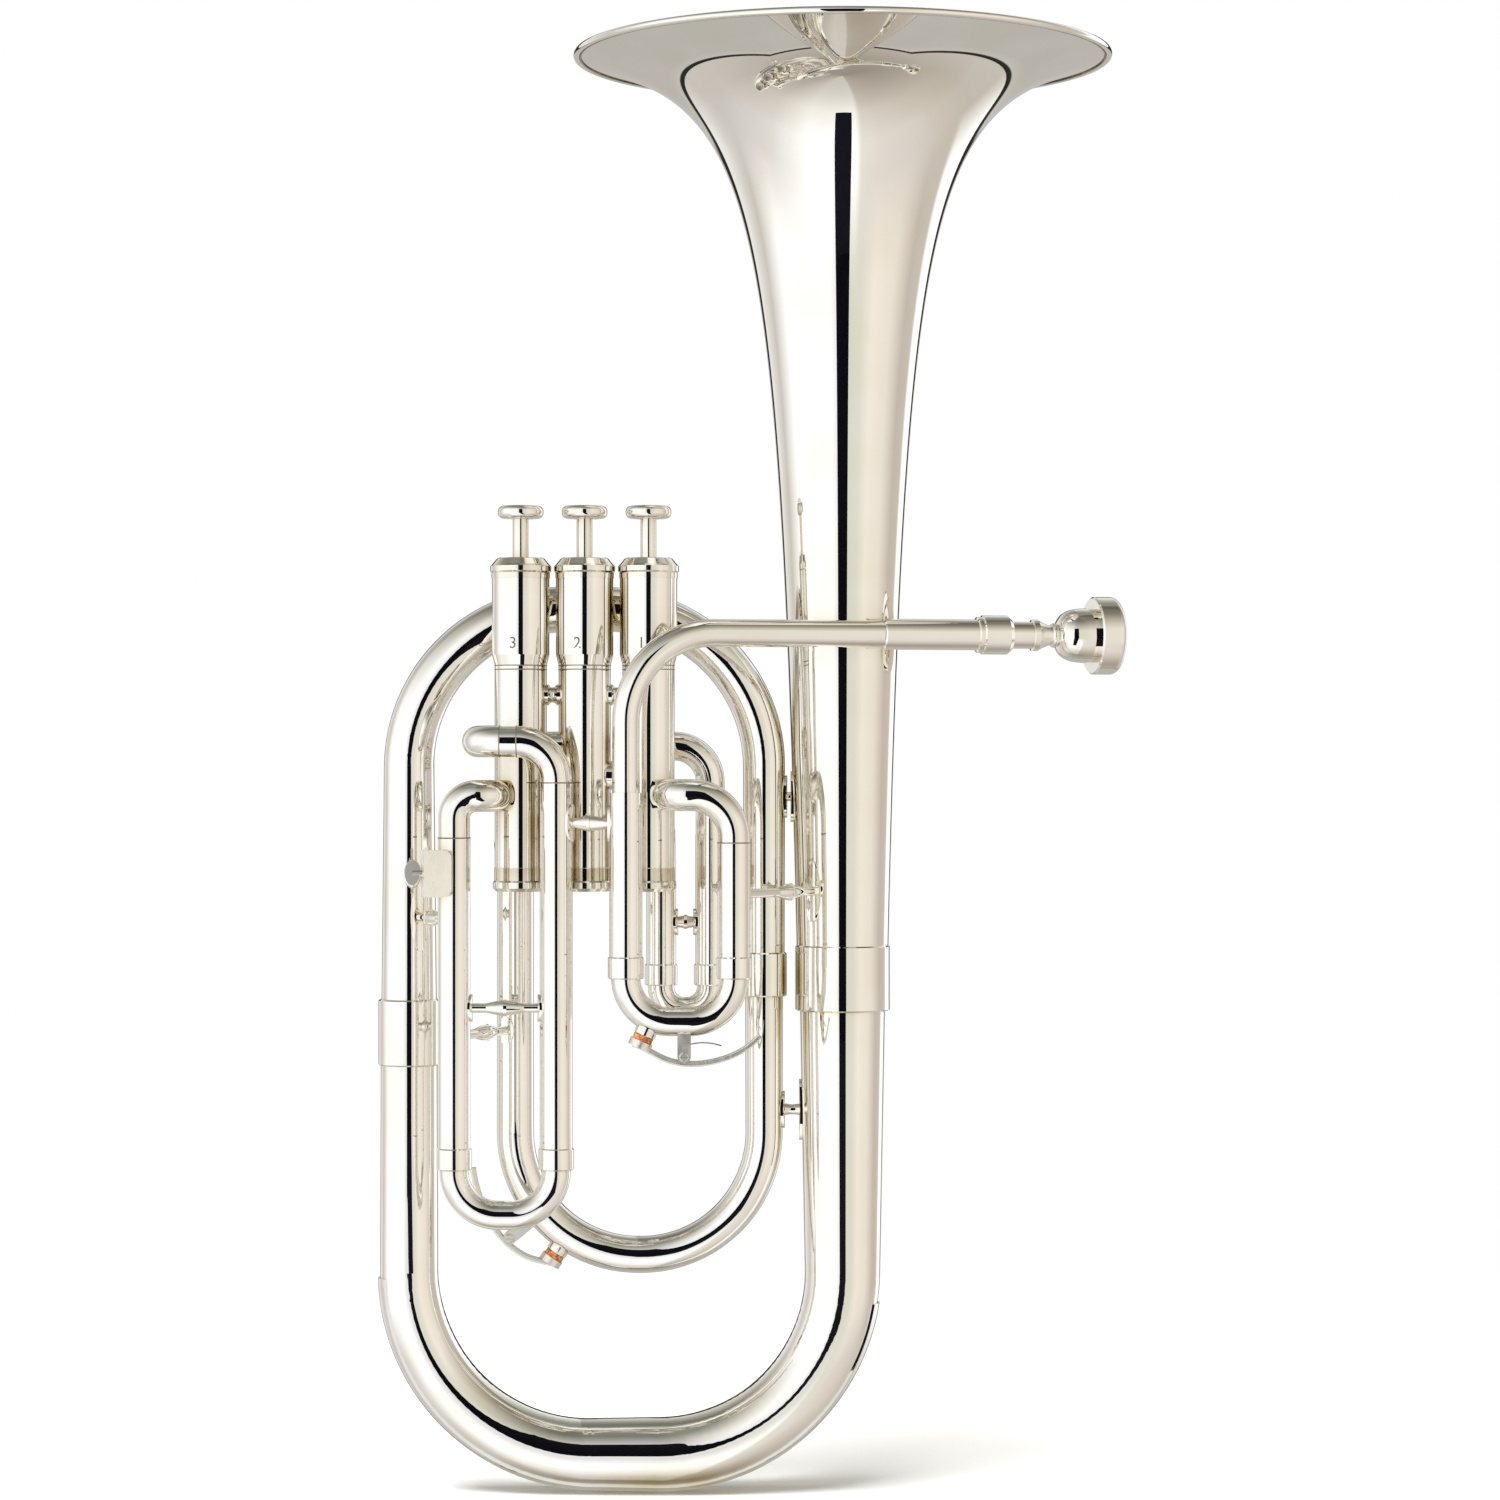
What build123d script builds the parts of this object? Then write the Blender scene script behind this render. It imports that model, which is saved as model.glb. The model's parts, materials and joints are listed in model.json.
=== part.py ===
"""An upright alto horn: three piston valves, bell up, silver plated.

Millimetres. +X is to the player's left hand side of the valves towards the mouthpiece,
+Y goes away from the side that carries the front slides, +Z is up. The origin is under the
middle of the whole horn, at the lowest point of the bow guard. The bell, the bottom bow,
the upper branch and the inner bow share the plane Y = 0.
"""
import os
from math import cos, radians, sin

from build123d import *

os.makedirs("parts", exist_ok=True)

UP = Vector(0, 0, 1)
middle_shift = 0.85         # brings the middle of the horn's width over the origin

# ---- the main bore, in the plane Y = 0 ----
sheet = 0.6                 # wall of every tube of the main bore
bell_x = 33.8
left_x = -129.7
right_x = 4.2
inner_x = -89.6

rim_radius = 101.5          # outside of the rolled rim
rim_height = 541.0
rim_wire = 1.3              # radius of the roll
flare_base = 5.73           # bell radius = base + gain / (vertex - height) ** power
flare_gain = 557.4
flare_vertex = 555.5
flare_power = 0.66

guard_thick = 0.8
guard_width = 15.6
guard_left_top = 80.7
guard_right_top = 71.3

bow_bend = 69.0
bow_height = 14.3
bow_radii = [10.7, 11.0, 13.1, 13.5, 14.3, 16.3]
bell_joint = 193.7
left_joint = 173.0

branch_bend = 59.2
branch_height = 332.6
branch_radii = [7.8, 7.95, 8.45, 8.6, 9.5, 10.6]
right_joint = 195.0

inner_bend = 46.3
inner_height = 89.2
inner_elbow = 7.6
inner_port_height = 244.0
inner_radii = [6.8, 6.8, 6.9, 7.0, 7.0, 7.0, 7.0, 7.2]

# ---- valves ----
valve_y = -20.5
valve_x = {1: -38.9, 2: -62.7, 3: -86.5}
casing_bottom = 230.9
casing_shoulder = 310.9
casing_cone_top = 314.9
casing_top = 343.4
cap_foot = 345.4
casing_radius = 9.7
casing_bore = 8.35
upper_radius = 10.7
upper_bore = 9.9
cap_radius = 11.4
cap_top = 351.0
cap_hole = 3.6
bottom_cap_radius = 10.4
cap_round = 0.6             # the turned edges of both caps
cap_bevel = 2.4             # how far the top cap's bevel comes in
cap_bevel_foot = 348.5
bottom_cap_height = 226.9
band_height = 4.7           # the thicker foot that takes the bottom cap's thread
band_proud = 0.15

piston_clearance = 0.05
piston_bottom = 249.5
piston_top = 306.0
barrel_radius = 7.0
barrel_wall = 0.6
barrel_top = 342.6
passage_radius = 5.0
passages = ((256.5, 20), (270.0, 80), (283.5, 140), (297.0, 20))   # height and turn of each
piston_hollow = 3.7         # the blind hole in the piston's foot
piston_hollow_depth = 4.0
barrel_roof = 3.0
stem_foot_radius = 1.6
stroke = 14.5
stem_radius = 3.0
stem_top = 367.2
button_radius = 8.5
button_height = 4.7
button_round = 2.0
button_dish = 0.9
felt_radius = 5.4
felt_height = 1.5
guide_height = casing_cone_top
guide_thick = 2.0
tongue_reach = 9.6
slot_half_width = 2.0
slot_play = 0.3             # left over at both ends of the guide's travel
spring_radius = 5.4
spring_wire = 0.45
spring_turns = 7
spool_height = 300.0
spool_end = 3.9
spool_waist = 2.8
spool_groove = 1.6          # half the groove's width
spool_root = 6.0            # where the spool ends inside each casing
knuckle_heights = {(3, 2): 281.0, (2, 1): 270.0}
stud_height = 330.5
stud_radius = 2.4

# ---- slides ----
sleeve_radius = 6.05
sleeve_bore = 5.40
slide_radius = 5.35
slide_wall = 0.45
elbow_radius = 5.85
ferrule_radius = 6.6
ferrule_length = 8.0
ferrule_bevel = 0.4
back_ferrule_length = 5.0
slide_engaged = 42.0

main_y = -48.5
main_left = -46.5
main_right = -6.95
main_sleeve_foot = 195.7
main_bow_height = 180.1
main_bow_bend = 15.9
main_left_joint = 263.7
main_right_joint = 245.4
main_port_height = 262.9
inlet_x = -30.4
inlet_bends = [15.5, 6.4, 7.5]

third_y = -38.0
third_left = -110.1
third_right = -72.5
third_sleeve_foot = 124.8
third_bow_height = 108.0
third_bow_bend = 16.4
third_left_joint = 247.0
third_right_joint = 267.3
third_low_port = 262.5
third_high_port = 282.6
third_low_x = -95.4
third_low_bends = [8.2, 6.2]
third_high_x = -101.9
third_high_bends = [14.5, 8.6, 8.6]

first_y = -2.6
first_left = -34.6
first_right = -16.1
first_scale = 0.93           # the first slide's tubes against the front slides' tubes
first_sleeve_foot = 191.0
first_bow_height = 181.5
first_low_joint = 238.0
first_high_joint = 247.6
first_low_port = 249.0
first_high_port = 281.0
first_low_bend = 6.6
first_high_bends = [13.5, 7.8]

second_low = 254.0
second_high = 278.0
second_sleeve_start = -3.0
second_sleeve_end = 22.0
second_bow_reach = 38.0

# ---- leadpipe and mouthpiece ----
pipe_radius = 5.1
pipe_wall = 0.5
pipe_bend = 33.0
pipe_height = 322.5
pipe_turn = 14.0            # degrees that the pipe leans away from the front
sleeve_start = 97.5
sleeve_end = 137.0
collar_start = 133.7
collar_end = 147.2
receiver_radius = 5.75
collar_radius = 7.3
shank_in = 137.6
shank_radius = 5.05
rim_back = 179.2
rim_face = 189.1
mouth_rim_radius = 14.6
mouth_inner_radius = 9.1
cup_depth = 13.5
throat_radius = 1.9
cup_wall = 0.9              # from the rim's crown in to where the cup begins
neck_radius = 3.8
bead_radius = 4.6
shank_ring_radius = 5.9
shank_end = 155.4
ring_end = 157.6
neck_start = 162.3
bead_start = 163.0
bead_end = 165.2
bowl_radius = 10.2

# ---- braces and small pieces ----
brace_mid = 2.9
brace_end = 1.7
flange_thick = 0.8
bell_brace_height = 226.7
bell_brace_high = 262.0
bell_brace_low = 144.0
front_brace_height = 252.5
third_brace_height = 184.4
third_back_brace_height = 174.1
first_brace_height = 214.8
outer_brace_height = 216.9
pipe_brace_start = 112.0

lyre_x = -117.0
lyre_y = -45.4
lyre_low = 225.5
lyre_high = 242.7
lyre_bore = 2.6
lyre_left = -121.3
lyre_right = -111.1
lyre_depth = 8.4
screw_height = 233.9
screw_radius = 1.5
screw_clearance = 0.05
screw_tip = lyre_x - lyre_bore - 0.15
coin_x = -124.8
coin_half_width = 3.1
coin_half_height = 5.4
coin_thick = 2.4
coin_turn = -25.0           # how far the screw's flat head leans back from upright
coin_bevel = 0.4
holder_turn = -12.0         # how far the square holder faces away from the front
holder_round = 3.0

# ---- water keys ----
key_thick = 2.0
key_width = 4.0
key_hub = 2.2
key_pin_radius = 1.0
key_clearance = 0.05
ear_half_width = 2.4
ear_thick = 1.0
nipple_radius = 4.0
nipple_height = 1.5
cork_radius = 3.7
cork_height = 3.0
cup_radius = 4.3
cup_height = 2.6
cup_floor = 1.9
pin_head_radius = 1.8
pin_head_height = 0.9
drain_radius = 1.5

main_key_pivot = Vector(-25.2, main_y, 167.2)
main_cork_way = Vector(-0.402, 0, -0.916)
bow_key_pivot = Vector(-91.7, 0, 95.5)
bow_cork_way = Vector(-0.563, 0, -0.827)


# ---- shared shapes ----
def save(shape, name):
    """Write one named piece, moved so that the origin is under the middle."""
    export_step(Pos(middle_shift, 0, 0) * shape, "parts/" + name + ".step")


def upright(x, y, radius, low, high):
    """A round bar standing on (x, y)."""
    return Pos(x, y, low) * extrude(Circle(radius), high - low)


def upright_tube(x, y, radius, bore, low, high):
    return upright(x, y, radius, low, high) - upright(x, y, bore, low - 1, high + 1)


def along(start, direction):
    """A plane at a point, square to a direction."""
    return Plane(origin=start, z_dir=direction)


def bar(start, direction, radius, length):
    """A round bar from a point, in a direction."""
    return extrude(along(start, direction) * Circle(radius), length, dir=Vector(*direction).normalized())


def bent_bar(points, bends, radius):
    """A round bar along straight runs joined by bends."""
    line = FilletPolyline(*points, radius=bends)
    return sweep(along(line @ 0, line % 0) * Circle(radius), path=line)


def bent_tube(points, bends, radius, wall):
    """A tube along straight runs joined by bends."""
    line = FilletPolyline(*points, radius=bends)
    ring = Circle(radius) - Circle(radius - wall)
    return sweep(along(line @ 0, line % 0) * ring, path=line)


def tapering_bar(line, radii):
    """A round bar whose radius changes evenly along each run and each bend."""
    pieces = []
    for run, start, end in zip(line.edges(), radii, radii[1:]):
        first = along(run @ 0, run % 0) * Circle(start)
        last = along(run @ 1, run % 1) * Circle(end)
        if run.geom_type == GeomType.LINE:
            pieces.append(loft([first, last], ruled=True))
        else:
            pieces.append(sweep([first, last], path=run, multisection=True))
    return pieces


def tapering_tube(line, radii):
    """A tapering bar with an even wall left standing."""
    outer = tapering_bar(line, radii)
    inner = tapering_bar(line, [radius - sheet for radius in radii])
    tube = outer[0] - inner[0]
    for solid, core in zip(outer[1:], inner[1:]):
        tube = tube + (solid - core)
    return tube


def turned(points, axis_x, axis_y):
    """A solid turned about an upright axis from (radius, height) corners."""
    outline = make_face(Polyline(*[(radius, 0, height) for radius, height in points], close=True))
    return Pos(axis_x, axis_y, 0) * revolve(outline, Axis.Z)


def ring_about(x, y, radius, low, high, inside):
    """A ferrule with eased edges, cut to the tubes that it joins."""
    ease = 0.5
    ring = turned([(0.01, low), (radius - ease, low), (radius, low + ease),
                   (radius, high - ease), (radius - ease, high), (0.01, high)], x, y)
    for solid in inside:
        ring = ring - solid
    return ring


# ---- the main bore ----
def bell_radius(height):
    return flare_base + flare_gain / (flare_vertex - height) ** flare_power


def bell_slope(height):
    return flare_power * flare_gain / (flare_vertex - height) ** (flare_power + 1)


def bell_curve(offset, count=14):
    """Points up the flare, closer together towards the rim, moved inwards by an offset."""
    top = rim_height - 0.3
    points = []
    for step in range(count + 1):
        height = top - (top - bell_joint) * (step / count) ** 2
        slope = bell_slope(height)
        length = (1 + slope ** 2) ** 0.5
        points.append((bell_radius(height) - offset / length, 0, height + offset * slope / length))
    return points


def rim_roll():
    """The round roll at the bell's edge."""
    middle = rim_radius - rim_wire
    return Pos(bell_x, 0, rim_height) * Torus(middle, rim_wire)


def bell_shape(offset_in):
    """The flare turned as one solid, from its outside or moved inwards."""
    curve = bell_curve(offset_in)
    top = curve[0]
    foot = curve[-1]
    outline = make_face([Spline(*curve), Polyline(foot, (0, 0, foot[2]), (0, 0, top[2]), top)])
    return Pos(bell_x, 0, 0) * revolve(outline, Axis.Z)


def bell():
    outer = bell_curve(0)
    inner = bell_curve(sheet)
    outline = make_face([Spline(*outer), Line(outer[-1], inner[-1]), Spline(*inner), Line(inner[0], outer[0])])
    flare = Pos(bell_x, 0, 0) * revolve(outline, Axis.Z)
    return flare - rim_roll()


def bow_line():
    return FilletPolyline((left_x, 0, left_joint), (left_x, 0, bow_height), (bell_x, 0, bow_height),
                          (bell_x, 0, bell_joint), radius=bow_bend)


def branch_line():
    return FilletPolyline((right_x, 0, right_joint), (right_x, 0, branch_height), (left_x, 0, branch_height),
                          (left_x, 0, left_joint), radius=branch_bend)


def inner_line():
    return FilletPolyline((inner_x, valve_y, inner_port_height), (inner_x, 0, inner_port_height),
                          (inner_x, 0, inner_height), (right_x, 0, inner_height), (right_x, 0, right_joint),
                          radius=[inner_elbow, inner_bend, inner_bend])


def bow_guard():
    """A strip of even width along the outside of the bottom bow."""
    line = bow_line()
    inner = tapering_bar(line, bow_radii)[1:4]
    outer = tapering_bar(line, [radius + guard_thick for radius in bow_radii])[1:4]
    strip = outer[0] - inner[0]
    for solid, core in zip(outer[1:], inner[1:]):
        strip = strip + (solid - core)
    inside = extrude(make_face([line.wire(), Line(line @ 0, line @ 1)]), 40, both=True)
    strip = strip - inside
    strip = strip & Box(400, guard_width, 400)
    over_top = Pos(0, 0, 50) * Box(60, 60, 100)
    strip = strip - Pos(left_x, 0, guard_left_top) * over_top
    return strip - Pos(bell_x, 0, guard_right_top) * over_top


# ---- valves ----
def casing(number):
    """Lower ported tube, cone and wider spring chamber, bored right through."""
    foot_radius = casing_radius + band_proud
    foot_top = casing_bottom + band_height
    return turned([(casing_bore, casing_bottom), (foot_radius, casing_bottom), (foot_radius, foot_top),
                   (casing_radius, foot_top + band_proud), (casing_radius, casing_shoulder),
                   (upper_radius, casing_cone_top), (upper_radius, casing_top), (upper_bore, casing_top),
                   (upper_bore, casing_cone_top), (casing_bore, casing_cone_top)],
                  valve_x[number], valve_y)


def casing_body(x):
    """The lower casing as a full bar, for trimming whatever is soldered to it."""
    return upright(x, valve_y, casing_radius, casing_bottom - 10, casing_shoulder)


def top_cap(number):
    """A turned cap with a rounded edge and a bevelled top, screwed on the spring chamber."""
    skirt = upper_radius + 0.2
    return turned([(cap_hole, casing_top), (skirt, casing_top), (skirt, cap_foot),
                   (cap_radius - cap_round, cap_foot), (cap_radius, cap_foot + cap_round),
                   (cap_radius, cap_bevel_foot - cap_round), (cap_radius - cap_round, cap_bevel_foot),
                   (cap_radius - cap_bevel, cap_top - cap_round / 2),
                   (cap_radius - cap_bevel - cap_round, cap_top), (cap_hole, cap_top)],
                  valve_x[number], valve_y)


def bottom_cap(number):
    """A shallow turned cap with a rounded underside, screwed in the casing's foot."""
    round_off = 2 * cap_round
    return turned([(0, bottom_cap_height), (bottom_cap_radius - round_off, bottom_cap_height),
                   (bottom_cap_radius, bottom_cap_height + round_off),
                   (bottom_cap_radius, casing_bottom - cap_round),
                   (bottom_cap_radius - cap_round, casing_bottom), (0, casing_bottom)],
                  valve_x[number], valve_y)


def piston(number):
    """A ported cylinder under a slotted spring barrel."""
    x = valve_x[number]
    radius = casing_bore - piston_clearance
    body = upright(x, valve_y, radius, piston_bottom, piston_top)
    body = body - upright(x, valve_y, piston_hollow, piston_bottom - 1, piston_bottom + piston_hollow_depth)
    for height, turn in passages:
        body = body - Pos(x, valve_y, height) * Rot(0, 0, turn) * Rot(90, 8, 0) * Cylinder(passage_radius, 40)
    barrel = upright_tube(x, valve_y, barrel_radius, barrel_radius - barrel_wall, piston_top, barrel_top)
    roof = upright(x, valve_y, barrel_radius, barrel_top - barrel_roof, barrel_top)
    slot_low = guide_height - slot_play
    slot_high = guide_height + guide_thick + stroke + slot_play
    slot = Pos(x, valve_y, (slot_low + slot_high) / 2)
    slot = slot * Box(30, 2 * slot_half_width + 0.2, slot_high - slot_low)
    hole = upright(x, valve_y, stem_foot_radius, barrel_top - 4, barrel_top + 1)
    return body + (barrel - slot) + (roof - hole)


def valve_stem(number):
    """A stem whose thinner foot fills the hole in the barrel's roof."""
    x = valve_x[number]
    foot = upright(x, valve_y, stem_foot_radius, barrel_top - barrel_roof, barrel_top)
    return foot + upright(x, valve_y, stem_radius, barrel_top, stem_top)


def finger_button(number):
    """A round-edged button with a dished top and a recess for its felt below."""
    x = valve_x[number]
    low = stem_top - felt_height
    top = low + button_height
    button = upright(x, valve_y, button_radius, low, top)
    button = fillet(button.edges().filter_by(GeomType.CIRCLE), button_round)
    dish_radius = (button_radius - button_round) ** 2 / (2 * button_dish)
    button = button - Pos(x, valve_y, top + dish_radius - button_dish) * Sphere(dish_radius)
    return button - upright(x, valve_y, felt_radius, low, stem_top)


def button_felt(number):
    """A soft washer round the stem, in the button's recess."""
    return upright_tube(valve_x[number], valve_y, felt_radius, stem_radius, stem_top - felt_height, stem_top)


def valve_guide(number):
    """A star whose two tongues rest on the casing's inner ledge."""
    x = valve_x[number]
    disc = upright(x, valve_y, barrel_radius - barrel_wall - 0.2, guide_height, guide_height + guide_thick)
    tongues = Box(2 * tongue_reach, 2 * slot_half_width, guide_thick)
    tongues = Pos(x, valve_y, guide_height + guide_thick / 2) * tongues
    return disc + tongues


def valve_spring(number):
    """A round-wire spring standing on the guide inside the barrel."""
    low = guide_height + guide_thick + spring_wire
    high = barrel_top - barrel_roof - spring_wire
    coil = Helix((high - low) / spring_turns, high - low, spring_radius)
    wire = sweep(along(coil @ 0, coil % 0) * Circle(spring_wire), path=coil)
    return Pos(valve_x[number], valve_y, low) * wire


def casing_spool(left, right):
    """A waisted stud between two casings."""
    root = (right - left) / 2 - spool_root
    plane = Plane(origin=((left + right) / 2, valve_y, spool_height), x_dir=(1, 0, 0), z_dir=(0, -1, 0))
    outline = make_face([Polyline((spool_groove, spool_end), (root, spool_end), (root, 0), (-root, 0),
                                  (-root, spool_end), (-spool_groove, spool_end)),
                         Spline((-spool_groove, spool_end), (0, spool_waist), (spool_groove, spool_end))])
    return revolve(plane * outline, Axis(plane.origin, (1, 0, 0)))


def casing_knuckles():
    """Short tubes that join neighbouring casings, and the waisted studs above them."""
    pieces = []
    for (left, right), height in knuckle_heights.items():
        start = valve_x[left]
        end = valve_x[right]
        port = bar((start, valve_y, height), (1, 0, 0), elbow_radius - 0.5, end - start)
        for link in (port, casing_spool(start, end)):
            pieces.append(link - casing_body(start) - casing_body(end))
    return Compound(pieces)


# ---- slides ----
def outer_leg(x, y, low, high, scale=1.0):
    """An outer slide leg with its ferrule at the foot."""
    leg = upright_tube(x, y, sleeve_radius * scale, sleeve_bore * scale, low, high)
    top = low + ferrule_length
    wide = ferrule_radius * scale
    ring = turned([(sleeve_bore * scale, low), (wide - ferrule_bevel, low), (wide, low + ferrule_bevel),
                   (wide, top - ferrule_bevel), (wide - ferrule_bevel, top), (sleeve_bore * scale, top)], x, y)
    return leg + ring


def slide_bow(left, right, y, foot, height, bend, scale=1.0):
    """A pull-out bow with its two inner legs."""
    top = foot + slide_engaged
    return bent_tube([(left, y, top), (left, y, height), (right, y, height), (right, y, top)],
                     bend, slide_radius * scale, slide_wall)


def main_slide_sleeves():
    left = outer_leg(main_left, main_y, main_sleeve_foot, main_left_joint)
    right = outer_leg(main_right, main_y, main_sleeve_foot, main_right_joint)
    return Compound([left, right])


def valve_inlet_elbow():
    """From the main slide's right leg, over and back into the first casing."""
    tube = bent_tube([(main_right, main_y, main_right_joint), (main_right, main_y, main_port_height),
                      (inlet_x, main_y, main_port_height), (inlet_x, valve_y, main_port_height),
                      (valve_x[1], valve_y, main_port_height)], inlet_bends, elbow_radius, sheet)
    return tube - casing_body(valve_x[1])


def slide_3_sleeves():
    left = outer_leg(third_left, third_y, third_sleeve_foot, third_left_joint)
    right = outer_leg(third_right, third_y, third_sleeve_foot, third_right_joint)
    low = bent_tube([(third_left, third_y, third_left_joint), (third_left, third_y, third_low_port),
                     (third_low_x, third_y, third_low_port), (third_low_x, valve_y, third_low_port)],
                    third_low_bends, elbow_radius, sheet)
    high = bent_tube([(third_right, third_y, third_right_joint), (third_right, third_y, third_high_port),
                      (third_high_x, third_y, third_high_port), (third_high_x, valve_y, third_high_port),
                      (valve_x[3], valve_y, third_high_port)], third_high_bends, elbow_radius, sheet)
    trim = casing_body(valve_x[3])
    return Compound([left + (low - trim), right + (high - trim)])


def slide_1_sleeves():
    left = outer_leg(first_left, first_y, first_sleeve_foot, first_low_joint, first_scale)
    right = outer_leg(first_right, first_y, first_sleeve_foot, first_high_joint, first_scale)
    radius = elbow_radius * first_scale
    low = bent_tube([(first_left, first_y, first_low_joint), (first_left, first_y, first_low_port),
                     (first_left, valve_y, first_low_port)], first_low_bend, radius, sheet)
    high = bent_tube([(first_right, first_y, first_high_joint), (first_right, first_y, first_high_port),
                      (valve_x[1], first_y, first_high_port), (valve_x[1], valve_y, first_high_port)],
                     first_high_bends, radius, sheet)
    trim = casing_body(valve_x[1])
    return Compound([left + (low - trim), right + (high - trim)])


def backward_leg(height):
    """One outer leg of the second slide, lying straight back from its casing."""
    x = valve_x[2]
    start = Vector(x, valve_y, height)
    back = (0, 1, 0)
    radius = elbow_radius * first_scale
    stub = bar(start, back, radius, second_sleeve_start - valve_y)
    stub = stub - bar(start, back, radius - sheet, 80) - casing_body(x)
    leg = bar((x, second_sleeve_start, height), back, sleeve_radius * first_scale,
              second_sleeve_end - second_sleeve_start)
    ring = bar((x, second_sleeve_end - back_ferrule_length, height), back, ferrule_radius * first_scale,
               back_ferrule_length)
    return stub + ((leg + ring) - bar(start, back, sleeve_bore * first_scale, 80))


def slide_2_sleeves():
    return Compound([backward_leg(second_low), backward_leg(second_high)])


def slide_2_bow():
    x = valve_x[2]
    radius = slide_radius * first_scale
    return bent_tube([(x, second_sleeve_start + 1, second_low), (x, second_bow_reach, second_low),
                      (x, second_bow_reach, second_high), (x, second_sleeve_start + 1, second_high)],
                     (second_high - second_low) / 2 - 0.5, radius, slide_wall)


# ---- leadpipe and mouthpiece ----
lean = Vector(cos(radians(pipe_turn)), sin(radians(pipe_turn)), 0)
corner = Vector(main_left, main_y, pipe_height)


def on_pipe(distance):
    return corner + lean * distance


def turned_on_pipe(points):
    """A solid turned about the leaning run from (distance, radius) corners."""
    plane = Plane(origin=corner, x_dir=lean, z_dir=lean.cross(UP))
    outline = plane * make_face(Polyline(*points, close=True))
    return revolve(outline, Axis(corner, lean))


def leadpipe():
    return bent_tube([(main_left, main_y, main_left_joint), corner, on_pipe(sleeve_end)],
                     pipe_bend, pipe_radius, pipe_wall)


def mouthpiece_receiver():
    """The sleeve over the leadpipe's end and the collar that takes the shank."""
    return turned_on_pipe([(sleeve_start, pipe_radius), (sleeve_start, receiver_radius - 0.3),
                           (sleeve_start + 0.6, receiver_radius), (collar_start, receiver_radius),
                           (collar_start + 0.4, collar_radius - 0.6), (collar_start + 2.0, collar_radius - 0.6),
                           (collar_start + 2.4, collar_radius), (collar_end - 1.6, collar_radius),
                           (collar_end, collar_radius - 1.4), (collar_end, pipe_radius)])


def mouthpiece():
    """Shank, collar, neck, bead, cup and rounded rim, bored through."""
    plane = Plane(origin=corner, x_dir=lean, z_dir=lean.cross(UP))
    crown = rim_face - 0.1
    cup_start = rim_face - cup_wall
    cup_end = rim_face - cup_depth
    outside = [Line((shank_in, throat_radius), (shank_in, shank_radius)),
               Polyline((shank_in, shank_radius), (shank_end, shank_radius),
                        (shank_end + 0.2, shank_ring_radius), (ring_end, shank_ring_radius)),
               Spline((ring_end, shank_ring_radius), (ring_end + 2, neck_radius + 1),
                      (neck_start, neck_radius)),
               Line((neck_start, neck_radius), (bead_start, neck_radius)),
               ThreePointArc((bead_start, neck_radius), ((bead_start + bead_end) / 2, bead_radius),
                             (bead_end, neck_radius + 0.2)),
               Spline((bead_end, neck_radius + 0.2), (bead_end + 2.9, bowl_radius - 1.7),
                      (bead_end + 7.4, bowl_radius - 0.2), (rim_back, bowl_radius)),
               Polyline((rim_back, bowl_radius), (rim_back, mouth_rim_radius - 0.6),
                        (rim_back + 0.6, mouth_rim_radius), (rim_face - 3.2, mouth_rim_radius)),
               ThreePointArc((rim_face - 3.2, mouth_rim_radius), (crown, mouth_rim_radius - 2.6),
                             (cup_start, mouth_inner_radius + 0.5)),
               Line((cup_start, mouth_inner_radius + 0.5), (rim_face - 1.8, mouth_inner_radius)),
               Spline((rim_face - 1.8, mouth_inner_radius), (rim_face - 8, 7.6), (cup_end, throat_radius)),
               Line((cup_end, throat_radius), (shank_in, throat_radius))]
    outline = plane * make_face(outside)
    return revolve(outline, Axis(corner, lean))


# ---- braces ----
def barrel_brace(start, end, middle=brace_mid, tip=brace_end):
    """A turned strut, thick in the middle, with a ring round its waist."""
    start = Vector(*start)
    end = Vector(*end)
    length = (end - start).length
    way = (end - start).normalized()
    side = way.cross(UP) if abs(way.Z) < 0.9 else way.cross(Vector(1, 0, 0))
    plane = Plane(origin=start, x_dir=way, z_dir=side)
    half = length / 2
    outline = make_face([Line((0, 0), (0, tip)), Line((0, tip), (half - 7, tip)),
                         Spline((half - 7, tip), (half - 4, middle - 0.5), (half - 0.6, middle)),
                         Polyline((half - 0.6, middle), (half - 0.6, middle + 0.3),
                                  (half + 0.6, middle + 0.3), (half + 0.6, middle)),
                         Spline((half + 0.6, middle), (half + 4, middle - 0.5), (half + 7, tip)),
                         Line((half + 7, tip), (length, tip)), Line((length, tip), (length, 0)),
                         Line((length, 0), (0, 0))])
    return revolve(plane * outline, Axis(start, way))


def flange(x, y, radius, height, toward, half_height, half_width=3.4):
    """A thin oval plate wrapped on an upright tube, facing a strut."""
    face = Plane(origin=(x, y, height), x_dir=UP, z_dir=toward) * Ellipse(half_height, half_width)
    patch = extrude(face, radius + 4)
    return patch & upright(x, y, radius + flange_thick, height - 30, height + 30)


def strut(start, end, start_radius, end_radius, plates, trims, middle=brace_mid, tip=brace_end):
    """A barrel brace between two upright tubes, with a flange at each end."""
    way = (Vector(*end) - Vector(*start)).normalized()
    shape = barrel_brace(start, end, middle, tip)
    shape = shape + flange(*start[:2], start_radius, start[2], way, plates[0])
    shape = shape + flange(*end[:2], end_radius, end[2], -way, plates[1])
    for solid in trims:
        shape = shape - solid
    return shape


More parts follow.
